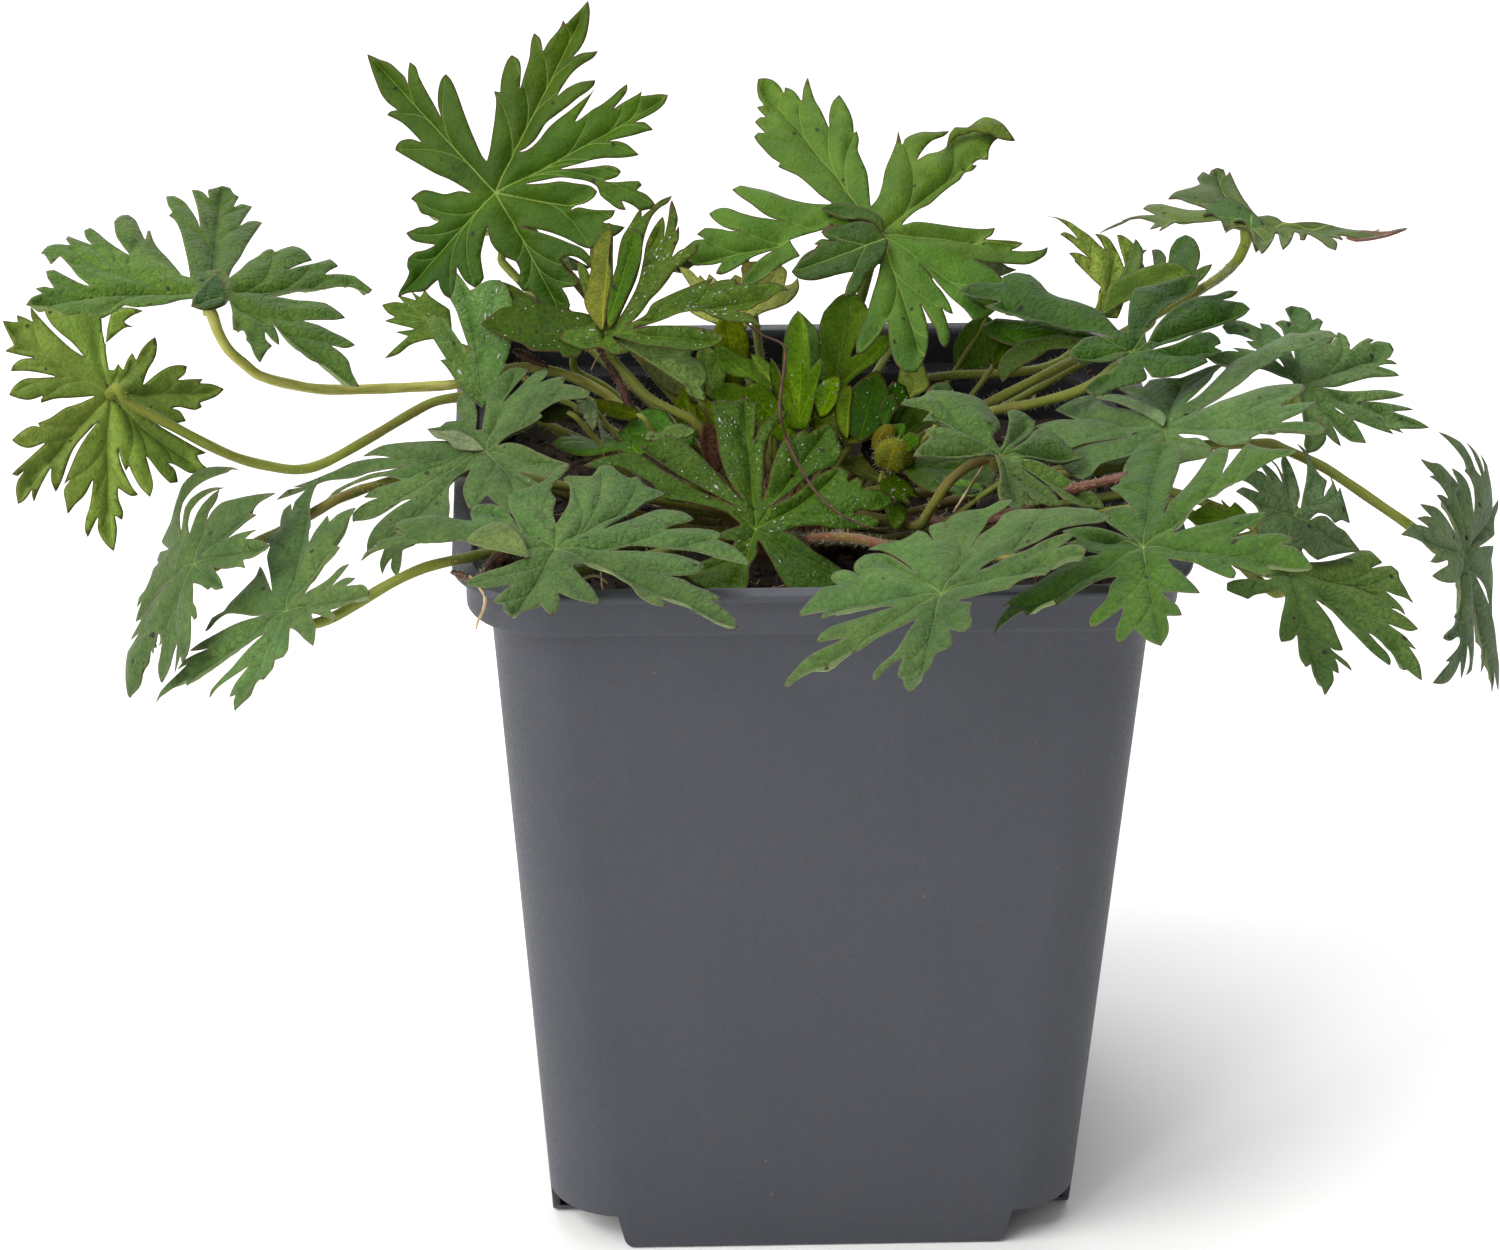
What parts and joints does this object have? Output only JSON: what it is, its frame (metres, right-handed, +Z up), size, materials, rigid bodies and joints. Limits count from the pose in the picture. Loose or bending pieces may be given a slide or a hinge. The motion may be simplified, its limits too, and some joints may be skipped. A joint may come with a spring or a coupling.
{
  "type": "potted hardy geranium",
  "caption": "Hardy geranium with deeply cut leaves on long arching stalks, growing in compost and spreading over the rim of its square plastic grower's pot.",
  "frame": {"origin": "middle of the pot's footprint, on the surface the pot stands on", "axes": "+Z up; -Y is the front of the pot, +X is to the right seen from the front; the pot's sides are parallel to X and Y and the leaves spread widest along X"},
  "size_m": [0.19, 0.1324, 0.1463],
  "materials": {
    "pot": "satin blue-grey moulded polypropylene",
    "soil": "damp dark peat compost with fine fibres",
    "crown": "brown woody crown with dry leaf bases",
    "leaf": "matte green, finely hairy, with thin red-brown margins",
    "young_leaf": "brighter green, slightly glossy and damp",
    "stalk": "yellow-green to reddish, finely hairy"
  },
  "bodies": {
    "root": {"back_leaf_01": "young_leaf", "back_leaf_02": "young_leaf", "back_leaf_03": "young_leaf", "crown": "crown", "leaf_01_tall_left": "leaf", "leaf_02_tall_centre": "leaf", "leaf_03_back_right": "leaf", "leaf_04_far_left": "leaf", "leaf_05_left_under": "leaf", "leaf_06_left_hanging": "leaf", "leaf_07_left_low": "leaf", "leaf_08_left_inner": "leaf", "leaf_09_centre_bright": "leaf", "leaf_10_front_left": "leaf", "leaf_11_front_inner": "leaf", "leaf_12_front_centre": "leaf", "leaf_13_front_right": "leaf", "leaf_14_middle_small": "leaf", "leaf_15_right_middle": "leaf", "leaf_16_right_upper": "leaf", "leaf_17_right_outer": "leaf", "leaf_18_right_low": "leaf", "leaf_19_far_right": "leaf", "leaf_20_bright_right": "leaf", "leaf_21_right_small": "leaf", "petiole_01_tall_left": "stalk", "petiole_02_tall_centre": "stalk", "petiole_03_back_right": "stalk", "petiole_04_far_left": "stalk", "petiole_05_left_under": "stalk", "petiole_06_left_hanging": "stalk", "petiole_07_left_low": "stalk", "petiole_08_left_inner": "stalk", "petiole_09_centre_bright": "stalk", "petiole_10_front_left": "stalk", "petiole_11_front_inner": "stalk", "petiole_12_front_centre": "stalk", "petiole_13_front_right": "stalk", "petiole_14_middle_small": "stalk", "petiole_15_right_middle": "stalk", "petiole_16_right_upper": "stalk", "petiole_17_right_outer": "stalk", "petiole_18_right_low": "stalk", "petiole_19_far_right": "stalk", "petiole_20_bright_right": "stalk", "petiole_21_right_small": "stalk", "pot": "pot", "soil": "soil", "young_leaf_01": "young_leaf", "young_leaf_02": "young_leaf", "young_leaf_03": "young_leaf", "young_leaf_04": "young_leaf", "young_leaf_05": "young_leaf", "young_leaf_06": "young_leaf", "young_leaf_07": "young_leaf", "young_leaf_08": "young_leaf", "young_leaf_09": "young_leaf", "young_leaf_10": "young_leaf"}
  },
  "joints": []
}
